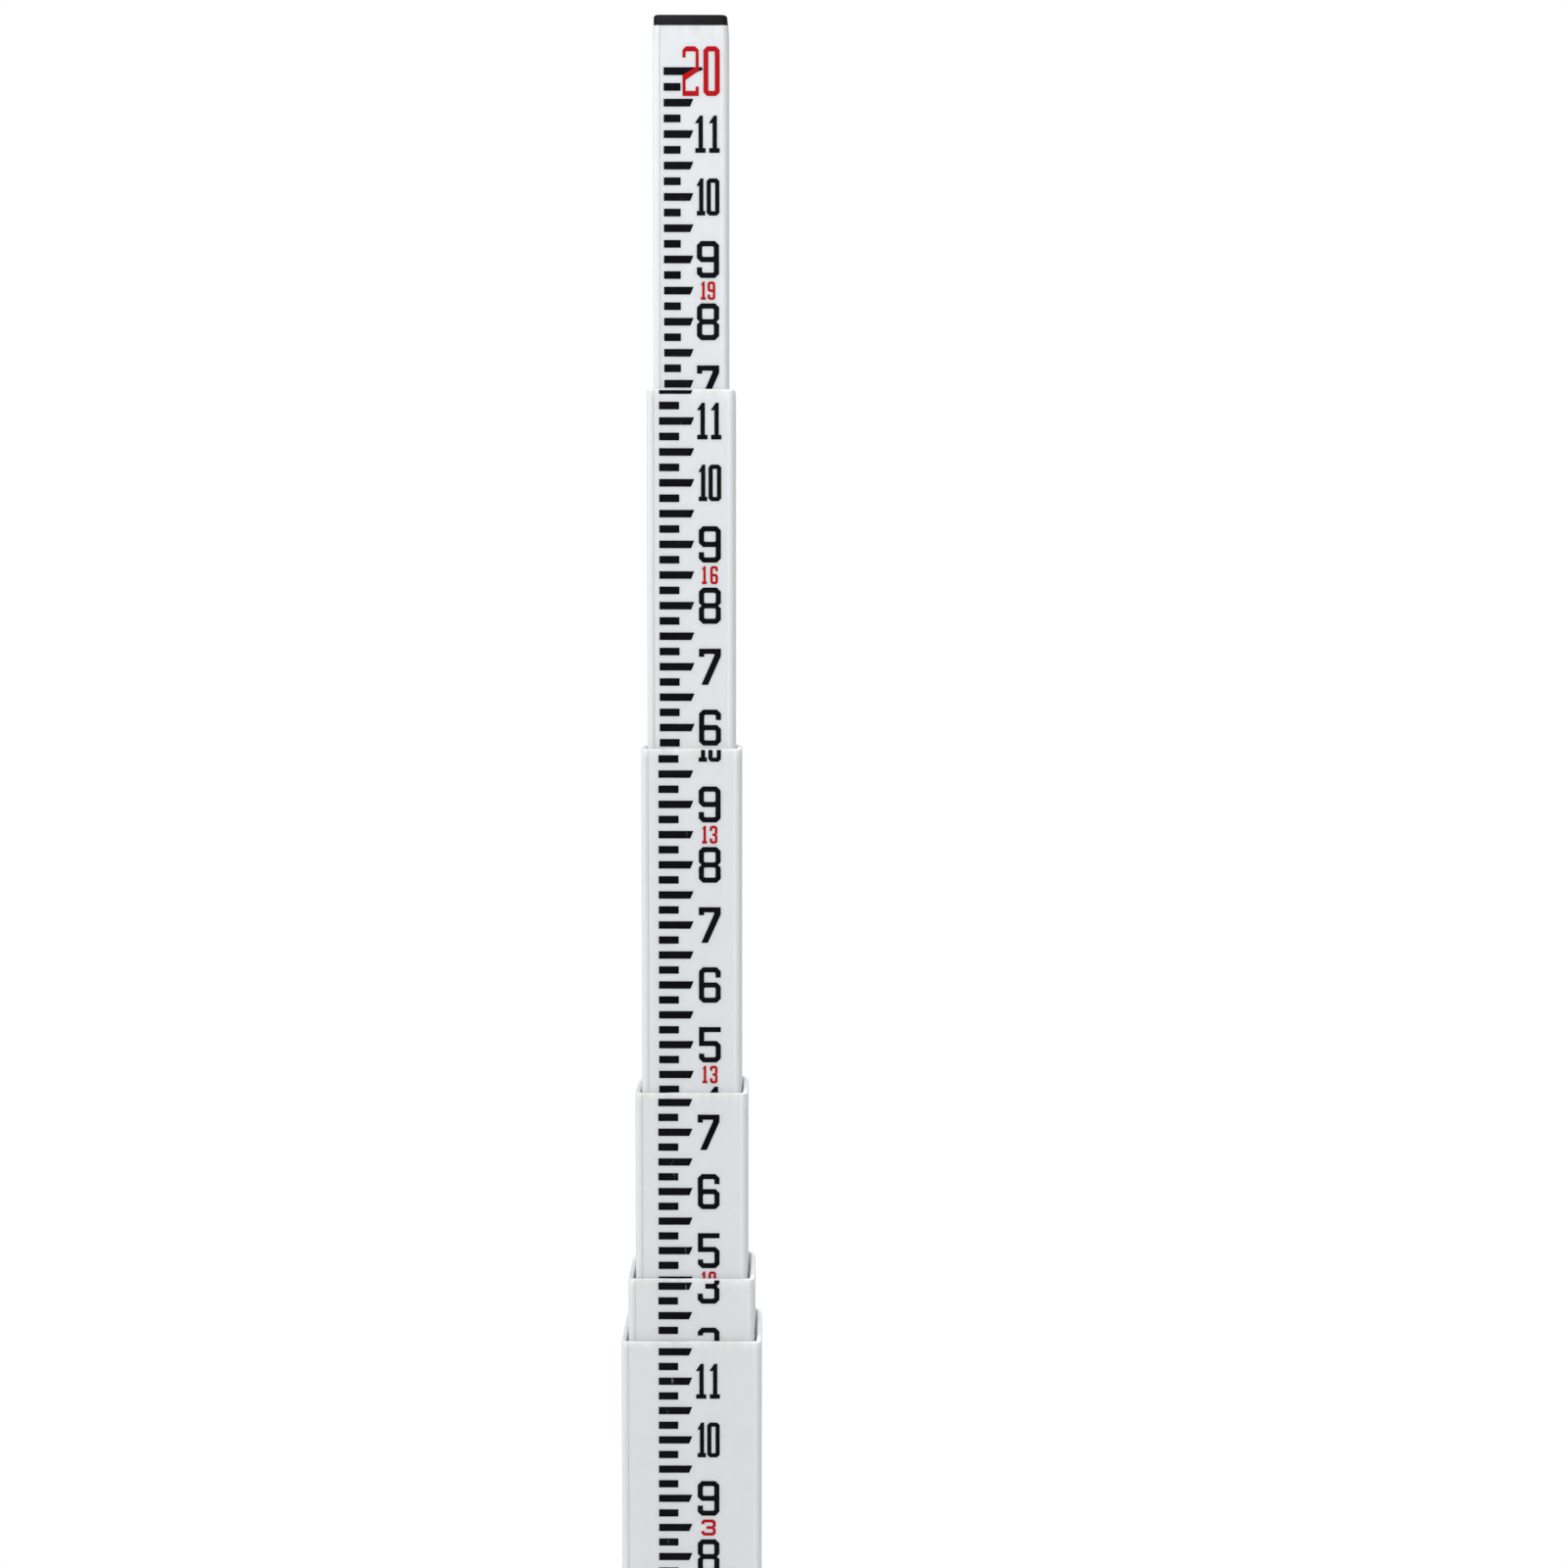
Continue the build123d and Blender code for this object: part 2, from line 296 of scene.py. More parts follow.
class Nodes:
    """Short ways to place and link shader nodes in one material."""

    def __init__(self, name):
        self.material = bpy.data.materials.new(name)
        self.material.use_nodes = True
        self.tree = self.material.node_tree
        self.shader = self.tree.nodes["Principled BSDF"]
        self.place = self.add("ShaderNodeTexCoord").outputs["Object"]

    def add(self, kind, inputs=(), **settings):
        """A new node with its first inputs given."""
        node = self.tree.nodes.new(kind)
        for key, value in settings.items():
            setattr(node, key, value)
        for value, socket in zip(inputs, node.inputs):
            self.link(value, socket)
        return node

    def link(self, value, socket):
        if isinstance(value, bpy.types.NodeSocket):
            self.tree.links.new(value, socket)
        else:
            socket.default_value = (*value, 1) if socket.type == "RGBA" else value

    def math(self, operation, *values):
        return self.add("ShaderNodeMath", values, operation=operation).outputs[0]

    def plus(self, first, second):
        return self.math("ADD", first, second)

    def times(self, first, second):
        return self.math("MULTIPLY", first, second)

    def noise(self, scale, stretch=(1, 1, 1), detail=3.0, rough=0.55):
        """Noise of a scale in repeats per metre, stretched along the axes."""
        moved = self.add("ShaderNodeVectorMath", (self.place, stretch), operation="MULTIPLY")
        inputs = (moved.outputs[0], 0.0, scale, detail, rough)
        return self.add("ShaderNodeTexNoise", inputs).outputs["Fac"]

    def ramp(self, value, low, high, from_value=0.0, to_value=1.0):
        inputs = (value, low, high, from_value, to_value)
        return self.add("ShaderNodeMapRange", inputs, clamp=True).outputs[0]

    def mix(self, share, first, second):
        node = self.add("ShaderNodeMix", data_type="RGBA", clamp_factor=True)
        for value, place in ((share, 0), (first, 6), (second, 7)):
            self.link(value, node.inputs[place])
        return node.outputs[2]

    def tint(self, base, value, low, high, share, colour):
        """Lays a colour over the base where a value is high, up to a share."""
        return self.mix(self.ramp(value, low, high, 0.0, share), base, colour)

    def weave(self, pitch):
        """Plain weave of glass cloth that runs round and along the tube, from 0 to 1."""
        x, y, z = self.add("ShaderNodeSeparateXYZ", (self.place,)).outputs
        wander = self.times(self.noise(160, (1, 1, 0.3)), 0.6 * pitch * 2 * pi)
        turns = 2 * pi / pitch
        across = self.math("SINE", self.times(self.plus(self.plus(x, y), wander), turns))
        along = self.math("SINE", self.times(self.plus(z, wander), turns))
        return self.math("MULTIPLY_ADD", self.times(across, along), 0.5, 0.5)

    def stored(self, name):
        """A value kept with the mesh's points by name, such as the wear and the painted edge shade."""
        return self.add("ShaderNodeAttribute", attribute_name=name).outputs["Fac"]

    def bump(self, height, distance):
        node = self.add("ShaderNodeBump")
        self.link(height, node.inputs["Height"])
        self.link(distance, node.inputs["Distance"])
        self.link(node.outputs[0], self.shader.inputs["Normal"])

    def set(self, **values):
        for name, value in values.items():
            self.link(value, self.shader.inputs[name.replace("_", " ").title().replace("Ior", "IOR")])
        return self.material


def fibreglass(name, translucency):
    """White gel coat over glass cloth: faint weave, lengthwise streaks, warm grime at the rims, and painted
    shade along the left edge of the front recess.
    """
    n = Nodes(name)
    weave = n.weave(1.25 * MM)
    streaks = n.noise(420, (1, 1, 0.012), detail=4)
    cloud = n.noise(14, (1, 1, 0.4), detail=5)
    fine = n.noise(700, detail=3)
    specks = n.noise(2600, detail=2)
    base = n.mix(n.ramp(weave, 0.05, 0.95), (0.735, 0.765, 0.800), (0.810, 0.838, 0.872))
    base = n.tint(base, fine, 0.35, 0.70, 0.30, (0.730, 0.757, 0.788))
    base = n.tint(base, streaks, 0.40, 0.75, 0.30, (0.74, 0.77, 0.80))
    base = n.tint(base, cloud, 0.45, 0.75, 0.25, (0.79, 0.79, 0.77))
    base = n.tint(base, specks, 0.72, 0.80, 0.20, (0.40, 0.38, 0.33))
    patches = n.ramp(n.noise(230, (1, 1, 0.5), detail=6), 0.35, 0.72)
    grime = n.times(n.times(n.stored("wear"), patches), 0.60)
    base = n.mix(grime, base, (0.56, 0.54, 0.43))
    # Painted shade: darkens the front recess's left edge, where the step lies in shade, in a dirt colour
    # broken up by clouds
    edge_shade_share = n.times(n.stored("crease"), n.ramp(cloud, 0.2, 0.7, 0.30, 0.75))
    base = n.mix(edge_shade_share, base, (0.45, 0.45, 0.38))
    rough = n.ramp(n.plus(n.times(streaks, 0.5), n.stored("wear")), 0.1, 1.3, 0.27, 0.52)
    n.bump(n.plus(n.times(weave, 0.5), n.times(streaks, 1.6)), 0.032 * MM)
    return n.set(
        base_color=base, roughness=rough, specular_ior_level=0.4, coat_weight=0.15, coat_roughness=0.2,
        subsurface_weight=translucency, subsurface_radius=(1.0, 1.0, 0.95), subsurface_scale=5.0 * MM,
    )


def ink(name, solid, thin, chip_share):
    """Screen-printed ink over the gel coat: a little uneven, with pinholes and scuffs."""
    n = Nodes(name)
    cloud = n.noise(55, (1, 1, 0.6), detail=6)
    grain = n.noise(1500, detail=3)
    base = n.mix(n.ramp(cloud, 0.35, 0.8), solid, thin)
    scuffs = n.noise(620, (1, 1, 0.16), detail=6, rough=0.7)
    chips = n.times(n.ramp(scuffs, 0.66, 0.70), n.ramp(cloud, 0.46, 0.60))
    base = n.mix(n.times(chips, chip_share), base, (0.72, 0.74, 0.76))
    rough = n.ramp(grain, 0.3, 0.7, 0.40, 0.56)
    n.bump(n.plus(grain, n.weave(1.15 * MM)), 0.008 * MM)
    return n.set(base_color=base, roughness=rough, specular_ior_level=0.04)


def moulded_plastic(name, colour, pale, grain_scale, roughness, gloss=0.3):
    """Moulded plastic with a fine spark-eroded grain and faint flow clouds."""
    n = Nodes(name)
    grain = n.noise(grain_scale, detail=4, rough=0.7)
    cloud = n.noise(60, detail=5)
    base = n.mix(n.ramp(cloud, 0.35, 0.75), colour, pale)
    dust = n.noise(900, detail=5, rough=0.75)
    base = n.tint(base, dust, 0.62, 0.78, 0.25, tuple(min(1, 1.15 * c + 0.04) for c in pale))
    rough = n.ramp(grain, 0.3, 0.7, roughness - 0.07, roughness + 0.07)
    n.bump(n.plus(grain, n.times(cloud, 2.0)), 0.02 * MM)
    return n.set(base_color=base, roughness=rough, specular_ior_level=gloss)


def metal(name, colour, pale, stretch, roughness, tarnish):
    """Bare metal: brushed or cast grain, tarnish in clouds and bright rubbed edges."""
    n = Nodes(name)
    grain = n.noise(1400, stretch, detail=5, rough=0.65)
    cloud = n.noise(120, detail=6)
    base = n.mix(n.ramp(grain, 0.3, 0.7), colour, pale)
    base = n.tint(base, cloud, 0.5, 0.75, 0.55, tarnish)
    base = n.mix(n.times(n.stored("wear"), 0.6), base, pale)
    rough = n.ramp(n.plus(grain, cloud), 0.7, 1.4, roughness - 0.08, roughness + 0.14)
    n.bump(grain, 0.02 * MM)
    return n.set(base_color=base, metallic=1.0, roughness=rough)


FIBREGLASS = fibreglass("fibreglass", 0.60)
WHITE_PRINT = fibreglass("white_print", 0.0)
BLACK_INK = ink("black_ink", (0.0022, 0.0025, 0.0038), (0.0055, 0.0060, 0.0080), 0.25)
RED_INK = ink("red_ink", (0.410, 0.0050, 0.0080), (0.465, 0.0080, 0.0120), 0.40)
CAP_PLASTIC = moulded_plastic(
    "cap_plastic", (0.0036, 0.0032, 0.0046), (0.0075, 0.0070, 0.0085), 2200, 0.52, gloss=0.17
)
NYLON = moulded_plastic("block_nylon", (0.52, 0.50, 0.44), (0.60, 0.59, 0.53), 1500, 0.50)
ACETAL = moulded_plastic("button_acetal", (0.38, 0.39, 0.40), (0.46, 0.47, 0.48), 2000, 0.42)
SPRING_STEEL = metal(
    "spring_steel", (0.42, 0.43, 0.45), (0.58, 0.59, 0.61), (4, 1, 0.2), 0.30, (0.30, 0.28, 0.25)
)
SHOE_METAL = metal(
    "shoe_metal", (0.30, 0.31, 0.32), (0.50, 0.51, 0.52), (1, 1, 1), 0.42, (0.20, 0.195, 0.18)
)
RIVET_METAL = metal(
    "rivet_metal", (0.36, 0.37, 0.38), (0.56, 0.57, 0.58), (1, 1, 1), 0.32, (0.24, 0.23, 0.21)
)


def repaint(node, material):
    """Gives a CAD node that stays another material."""
    kept = frame["nodes"][node]
    if not kept.material_slots:
        kept.data.materials.append(material)
    for entry in kept.material_slots:
        entry.material = material


# ---- Tubes

# Painted shade along the front recess's left edge, by the outline's point: darker where the step turns away
# from the light
PAINTED_EDGE_SHADE = {-4: 0.15, -3: 0.35, -2: 0.5, -1: 0.55, 0: 0.6, 1: 0.75}

# Wear of the tube's surfaces: at the rim's rows by distance below the rim, then elsewhere
RIM_WEAR = ((22.0 * MM, 0.0), (9.0 * MM, 0.12), (3.6 * MM, 0.35))
TUBE_END_WEAR = 0.3
WINDOW_WEAR = 0.55
INNER_WEAR = 0.8

# Waves along the rim, and the ease of its back corners, on the right and on the left from the front
RIM_WAVE = 0.22 * MM
WAVES_PER_METRE = 110
CORNER_REACH = 4.5 * MM
CORNER_DEPTH = 9.0 * MM
CORNER_EASE = {1: 2.3 * MM, -1: 1.3 * MM}


def rim_drop(section, x, y):
    """How far the rim dips below its nominal height at a point: none under the cap."""
    if section == TOP:
        return 0.0
    spot = Vector((x * WAVES_PER_METRE, y * WAVES_PER_METRE, section * 7.3))
    wave = RIM_WAVE * max(0.0, noise.noise(spot) + 0.25)
    across = max(0.0, abs(x) - WIDTH[section] / 2 + CORNER_REACH) / CORNER_REACH
    behind = min(1.0, max(0.0, (y - DEPTH[section] / 2) / CORNER_DEPTH + 1.3))
    ease = CORNER_EASE[1 if x > 0 else -1] * (1 - sqrt(max(0.0, 1 - across**2)))
    return wave + ease * behind**2 * (3 - 2 * behind)


def tube_openings(section):
    """Heights of the tube's rectangular openings, the window and its own button's hole."""
    heights = [] if section == TOP else [window_height(section)]
    if section != 1:
        heights.append(button_height(section))
    return sorted(heights)


def line_opening(build, height, pairs, half_y, columns):
    """Lines an opening through the back wall, and fills the two faces of the wall around it."""
    edge = quarter_round(WINDOW_EDGE)
    loops = [(grow, half_y - sink) for sink, grow in edge]
    loops += [(grow, half_y - WALL + sink) for sink, grow in reversed(edge)]
    rings = [
        build.add([(-x, y, height + z) for x, z in window_loop(grow)], WINDOW_WEAR) for grow, y in loops
    ]
    for outer, inner in zip(rings, rings[1:]):
        build.strip(outer, inner)
    for (lower, upper), ring, flip in zip(pairs, (rings[0], rings[-1]), (False, True)):
        around = [lower[i] for i in columns] + [upper[i] for i in reversed(columns)]
        build.fill([around, ring], flip)


def tube(section):
    """One fibreglass tube: rounded rim, recessed front panel, lined openings in the back."""
    build = Builder()
    rim, end, half_y = RIM[section], TUBE_END[section], DEPTH[section] / 2
    groove, smooth = (GROOVE_DEPTH, 0.0) if section in GROOVED_SECTIONS else (None, None)
    outer = tube_outline(section, 0.0, FRONT_RECESS, groove)
    inner = tube_outline(section, WALL, 0.0, smooth)
    reach = PATCH_HALF_WIDTH + HAIR
    columns = [i for i, (x, y) in enumerate(outer) if y > half_y - HAIR and abs(x) < reach]
    heights = tube_openings(section)
    levels = [(height + side * PATCH_HALF_HEIGHT, 0.0) for height in heights for side in (-1, 1)]
    levels += [(rim - drop, wear) for drop, wear in RIM_WEAR]

    def row(outline, z, wear):
        return build.add([(x, y, z) for x, y in outline], wear)

    def edge(inside, at_rim):
        """Rows over a rounded edge of the wall, from its side to its end face."""
        rows = []
        for inset, drop in quarter_round(EDGE_ROUND):
            outline = outer
            if inside:
                outline = tube_outline(section, WALL - inset, 0.0, smooth)
            elif inset > 0:
                outline = tube_outline(section, inset, FRONT_RECESS, smooth)
            if at_rim:
                points = [(x, y, rim - drop - rim_drop(section, x, y)) for x, y in outline]
                rows.append(build.add(points, 1.0))
            else:
                rows.append(row(outline, end + drop, TUBE_END_WEAR))
        return rows

    rings = edge(inside=False, at_rim=False)[::-1]
    outer_rows = [row(outer, z, wear) for z, wear in levels]
    for points in outer_rows:
        # Painted shade along the front recess's left edge, set on the front rows' points
        for column, amount in PAINTED_EDGE_SHADE.items():
            build.crease[points[column]] = amount
    rings += outer_rows + edge(inside=False, at_rim=True) + edge(inside=True, at_rim=True)[::-1]
    inner_rows = [row(inner, z, wear * INNER_WEAR) for z, wear in levels]
    rings += inner_rows[::-1] + edge(inside=True, at_rim=False)

    pairs = [
        [rows[number : number + 2] for rows in (outer_rows, inner_rows)]
        for number in range(0, 2 * len(heights), 2)
    ]
    gaps = {frozenset((lower[0], upper[0])) for both in pairs for lower, upper in both}
    for lower, upper in zip(rings, rings[1:] + rings[:1]):
        build.strip(lower, upper, columns[:-1] if frozenset((lower[0], upper[0])) in gaps else ())
    for height, both in zip(heights, pairs):
        line_opening(build, height, both, half_y, columns)
    node = f"section_{section}_tube"
    build.finish(f"fibreglass_tube_{section}", FIBREGLASS, body_name(section), "fibreglass", [node])


# ---- Numerals and letters: loops, the outline first, then its holes

def cut_corners(x0, y0, x1, y1, cut):
    """Rectangle with its corners cut off, counterclockwise."""
    return [
        (x0 + cut, y0), (x1 - cut, y0), (x1, y0 + cut), (x1, y1 - cut),
        (x1 - cut, y1), (x0 + cut, y1), (x0, y1 - cut), (x0, y0 + cut),
    ]


def hole(*rectangle):
    return cut_corners(*rectangle)[::-1]


def draw_one(w, h, s):
    foot, left, right = 1.05 * s, 0.53 * w - s / 2, 0.53 * w + s / 2
    return [[
        (0, 0), (w, 0), (w, foot), (right, foot), (right, h), (left + 0.3 * s, h), (0, 0.81 * h),
        (0.04 * w, 0.785 * h), (left, 0.80 * h), (left, foot), (0, foot),
    ]]


def draw_two(w, h, s, v, c, k):
    low = 0.30 * h + 0.2 * s
    return [[
        (0, 0), (w, 0), (w, 0.19 * h), (w - v, 0.19 * h), (w - v, s), (v, s), (v, low),
        (w, 0.505 * h), (w, h - c), (w - c, h), (c, h), (0, h - c), (0, 0.775 * h), (v, 0.775 * h),
        (v, h - s - k), (v + k, h - s), (w - v - k, h - s), (w - v, h - s - k), (w - v, 0.575 * h),
        (0, low + s),
    ]]


def draw_round(char, w, h, s, c, k):
    """A 3, 5, 8 or 9, which share a round foot, a waist, a round head and a hooked tail."""
    middle, nick = h / 2, 0.66 * c
    low, tail = (0.462 * h, 0.25 * h) if char == "5" else (middle - s / 2, 0.29 * h)
    foot = [(c, 0), (w - c, 0), (w, c)]
    waist = [(w, middle - nick), (w - nick, middle), (w, middle + nick)]
    head = [(w, h - c), (w - c, h), (c, h), (0, h - c)]
    hook = [(w - s, s + k), (w - s - k, s), (s + k, s), (s, s + k), (s, tail), (0, tail), (0, c)]
    if char == "3":
        bar_low, bar_high = middle - s / 2, middle + s / 2
        inside = [
            (0, h - tail), (s, h - tail), (s, h - s - k), (s + k, h - s), (w - s - k, h - s),
            (w - s, h - s - k), (w - s, bar_high + k), (w - s - k, bar_high), (0.35 * w, bar_high),
            (0.35 * w, bar_low), (w - s - k, bar_low), (w - s, bar_low - k),
        ]
        return [foot + waist + head + inside + hook]
    if char == "5":
        inside = [
            (w, low + s - c), (w - c, low + s), (s, low + s), (s, h - s), (w, h - s), (w, h), (0, h),
            (0, low), (w - s - k, low), (w - s, low - k),
        ]
        return [foot + inside + hook]
    if char == "8":
        left = [(0, middle + nick), (nick, middle), (0, middle - nick), (0, c)]
        holes = [hole(s, s, w - s, low, k), hole(s, low + s, w - s, h - s, k)]
        return [foot + waist + head + left, *holes]
    return [foot + head + [(0, low + c), (c, low), (w - s, low)] + hook, hole(s, low + s, w - s, h - s, k)]


def draw_four(w, h, s):
    right, bar, foot = 0.88 * w, 0.24 * h, 0.75 * s
    left, peak, shoulder, reach = right - s, 0.71 * w, 0.27 * h + s, 0.1 * w
    slope = peak / (h - shoulder)
    across = s * sqrt(1 + slope**2)
    outline = [
        (left - reach, 0), (right + reach, 0), (right + reach, foot), (right, foot), (right, bar),
        (w, bar), (w, bar + s), (right, bar + s), (right, h), (peak, h), (0, shoulder), (0, bar),
        (left, bar), (left, foot), (left - reach, foot),
    ]
    top = shoulder + (left - across) / slope
    corner = across - (shoulder - bar - s) * slope
    return [outline, [(left, top), (left, bar + s), (corner, bar + s)]]


def draw_seven(w, h, s, slanted):
    across = 1.27 * s if slanted else s
    foot = 0.11 * w if slanted else 0.92 * w - s
    serif = 0.774 * h if slanted else 0.86 * h
    return [[
        (foot, 0), (foot + across, 0), (w, 0.8 * h), (w, h), (0, h), (0, serif), (s, serif),
        (s, h - s), (w - across, h - s), (w - across, 0.81 * h),
    ]]


def draw_letter(char, w, h, s):
    left, right, bar, slash = (w - s) / 2, (w + s) / 2, 0.42 * h, 1.7 * s
    return [{
        "F": [
            (0, 0), (s, 0), (s, bar), (0.85 * w, bar), (0.85 * w, bar + s), (s, bar + s), (s, h - s),
            (w, h - s), (w, h), (0, h),
        ],
        "T": [
            (left, 0), (right, 0), (right, h - s), (w, h - s), (w, h), (0, h), (0, h - s), (left, h - s),
        ],
        "I": [(0, 0), (w, 0), (w, h), (0, h)],
        "N": [
            (0, 0), (s, 0), (s, h - slash), (w - s, 0), (w, 0), (w, h), (w - s, h), (w - s, slash),
            (s, h), (0, h),
        ],
    }[char]]


def draw(char, w, h, s, v, c, slanted):
    """Loops of one character: width, height, stroke, the upright stroke of a 2, and corner cut."""
    k = max(c - 0.586 * s, 0.05 * s)
    if char == "0":
        return [cut_corners(0, 0, w, h, c), hole(s, s, w - s, h - s, k)]
    if char == "1":
        return draw_one(w, h, s)
    if char == "2":
        return draw_two(w, h, s, v, c, k)
    if char == "4":
        return draw_four(w, h, s)
    if char == "6":
        return [[(w - x, h - y) for x, y in loop] for loop in draw_round("9", w, h, s, c, k)]
    if char == "7":
        return draw_seven(w, h, s, slanted)
    if char in "FTIN":
        return draw_letter(char, w, h, s)
    return draw_round(char, w, h, s, c, k)


class Shape:
    """A flat shape ready to print: its loops, their points and the triangles over them."""

    def __init__(self, loops):
        self.loops = loops
        self.points = [point for loop in loops for point in loop]
        self.triangles = triangles(loops)


@functools.lru_cache(None)
def character(*settings):
    """The shape of a character, made once for each set of draw's settings."""
    return Shape(draw(*settings))


# ---- Printing on a tube's face

INK_SINK = 0.2 * MM
INK_RISE = 0.05 * MM
OVERPRINT_RISE = 0.08 * MM


def clipped(polygon, low, high):
    """The part of a convex polygon between two heights."""
    for limit, side in ((low, 1), (high, -1)):
        kept = []
        for a, b in zip(polygon, polygon[1:] + polygon[:1]):
            inside_a, inside_b = side * (a[1] - limit) >= 0, side * (b[1] - limit) >= 0
            if inside_a:
                kept.append(a)
            if inside_a != inside_b:
                share = (limit - a[1]) / (b[1] - a[1])
                kept.append((a[0] + share * (b[0] - a[0]), limit))
        polygon = kept
        if len(polygon) < 3:
            return []
    return polygon


class Print:
    """Ink of one colour on one face of a section, as thin solids that rise above the face."""

    def __init__(self, section, back, rise, spans, gain=0.0):
        self.build = Builder()
        self.section = section
        self.gain = gain
        self.back = back
        self.rise = rise
        self.spans = spans
        self.face = DEPTH[section] / 2 - (0.0 if back else FRONT_RECESS)

    def point(self, x, z, out):
        side = 1 if self.back else -1
        return (-side * x, side * (self.face + out), z)

    def solid(self, loops, triangles):
        flat = [point for loop in loops for point in loop]
        top = self.build.add([self.point(x, z, self.rise) for x, z in flat])
        base = self.build.add([self.point(x, z, -INK_SINK) for x, z in flat])
        for triangle in triangles:
            self.build.faces.append(tuple(top[n] for n in triangle))
            self.build.faces.append(tuple(base[n] for n in reversed(triangle)))
        start = 0
        for loop in loops:
            end = start + len(loop)
            self.build.strip(base[start:end], top[start:end])
            start = end

    def stamp(self, shape, x, z, spans=None):
        """Prints a shape with its own origin at (x, z), cut to the spans of height that take ink."""
        spans = spans or self.spans
        heights = [z + point[1] for point in shape.points]
        for low, high in spans:
            if low <= min(heights) and max(heights) <= high:
                moved = [[(x + px, z + pz) for px, pz in loop] for loop in shape.loops]
                self.solid(moved, shape.triangles)
                return
        for low, high in spans:
            if max(heights) <= low or min(heights) >= high:
                continue
            for triangle in shape.triangles:
                corners = [(x + shape.points[n][0], z + shape.points[n][1]) for n in triangle]
                part = clipped(corners, low, high)
                if part:
                    fan = [(0, n, n + 1) for n in range(1, len(part) - 1)]
                    self.solid([part], fan)

    def finish(self, name, material, slot):
        if self.build.points:
            self.build.finish(f"{name}_{self.section}", material, body_name(self.section), slot)


# ---- Front scale: eighth-inch bars, inch numerals in black, foot numbers in red

BAR_HEIGHT = INCH / 8
QUARTER = INCH / 4
BAR_STARTS = {1: -13.7, 2: -13.9, 3: -13.9, 4: -13.6, 5: -13.1, 6: -11.0}
SHORT_ENDS = {1: -5.5, 2: -5.6, 3: -5.5, 4: -5.2, 5: -4.75, 6: -4.05}
LONG_ENDS = {1: 0.45, 2: 0.4, 3: 0.5, 4: 1.0, 5: 1.45, 6: 1.2}
NUMERAL_LEFTS = {1: 2.7, 2: 2.7, 3: 2.7, 4: 3.2, 5: 3.3, 6: 2.55}
BAR_SLANT = 1.35 * MM
POINTER_LENGTH = 3.9 * MM
INCHES_PER_FOOT = 12
PRINT_BELOW_DRAWN = 0.9 * INCH
PRINT_EDGE = 0.5 * MM
FIRST_READING = 0.5 * INCH
ROD_READING = 240 * INCH


def font_mm(**sizes):
    """Height, stroke, a 2's upright stroke v, corner cut, width and a one's width, given in mm."""
    return {name: size * MM for name, size in sizes.items()}


INCH_NUMERAL = font_mm(h=15.1, s=2.2, c=1.7)
INCH_WIDTH = 9.2 * MM
FOOT_NUMBER = font_mm(h=20.0, s=2.05, v=1.3, c=1.5, w=6.7, one=4.4)
FOOT_GAP = 1.9 * MM
FOOT_RIGHT = 9.5 * MM
SMALL_FOOT = font_mm(h=7.5, s=1.05, c=0.75, w=3.2, one=2.1)
SMALL_SINGLE = font_mm(h=7.0, s=1.25, c=1.0, w=6.1)
SMALL_GAPS = {1: 0.9, 2: 0.9, 3: 0.9, 4: 1.1, 5: 1.4, 6: 0.7}
SMALL_READINGS = (0.5, 4.5, 8.5)


def row_of_digits(text, font, gap):
    """Widths of the digits in a number, a one being narrower, and the number's whole width."""
    widths = [font["one" if char == "1" and len(text) > 1 else "w"] for char in text]
    return widths, sum(widths) + gap * (len(text) - 1)


def front_number(ink_print, text, x, z, font, widths, gap=0.0):
    """Digits side by side from x, centred on height z."""
    for char, w in zip(text, widths):
        shape = character(char, w, font["h"], font["s"], font.get("v", font["s"]), font["c"], True)
        ink_print.stamp(shape, x, z - font["h"] / 2)
        x += w + gap


def inch_numeral(black, text, left, z):
    if text == "11":
        slim = {**INCH_NUMERAL, "s": 1.85 * MM}
        front_number(black, text, left - 0.6 * MM, z, slim, [4.3 * MM] * 2, 1.45 * MM)
    elif text == "10":
        slim = {**INCH_NUMERAL, "s": 1.8 * MM, "c": 1.1 * MM}
        front_number(black, text, left, z, slim, [3.5 * MM, 5.3 * MM], 0.55 * MM)
    elif text == "1":
        front_number(black, text, left + 2.2 * MM, z, INCH_NUMERAL, [5.2 * MM])
    else:
        front_number(black, text, left, z, INCH_NUMERAL, [INCH_WIDTH])


def bar_shape(section, kind):
    """A bar about its own height: short, long with a slanted end, or long with a pointer."""
    start, half = BAR_STARTS[section] * MM, BAR_HEIGHT / 2
    short, long = SHORT_ENDS[section] * MM, LONG_ENDS[section] * MM
    tip = long + POINTER_LENGTH
    ends = {
        "short": [(short, -half), (short, half)],
        "long": [(long - BAR_SLANT, -half), (long, half)],
        "pointer": [
            (long - 1.2 * MM, -half), (tip - 0.9 * MM, 0.15 * half), (tip - 0.2 * MM, 0.25 * half),
            (tip, 0.55 * half), (tip - 0.2 * MM, 0.85 * half), (tip - 0.7 * MM, half),
        ],
    }
    return Shape([[(start, -half), *ends[kind], (start, half)]])


